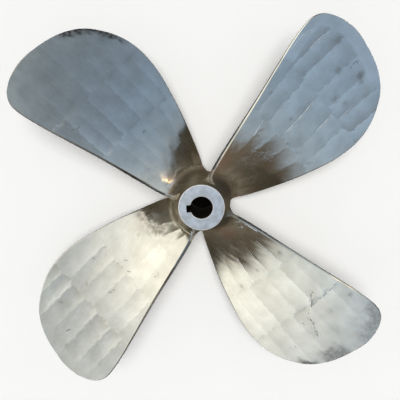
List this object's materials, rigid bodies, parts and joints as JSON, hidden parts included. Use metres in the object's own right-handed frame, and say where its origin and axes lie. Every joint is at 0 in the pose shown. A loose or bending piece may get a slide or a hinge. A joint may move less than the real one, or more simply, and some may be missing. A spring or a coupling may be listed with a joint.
{
  "type": "ship propeller",
  "caption": "Right-handed fixed-pitch bronze ship propeller, cast in one piece, with a tapered keyed bore through its hub.",
  "frame": {"origin": "centre of the hub's forward face, on the floor that it rests on", "axes": "+Z along the shaft's axis, from the forward hub face to the aft hub face; the blades' generator lines lie at 45, 135, 225 and 315 degrees from +X towards +Y, and the keyway at 185 degrees"},
  "size_m": [0.992, 0.992, 0.236],
  "materials": {
    "propeller_bronze": "hand-ground bronze, bright on the blades and browned at the roots"
  },
  "bodies": {
    "root": {"propeller": "propeller_bronze"}
  },
  "joints": []
}
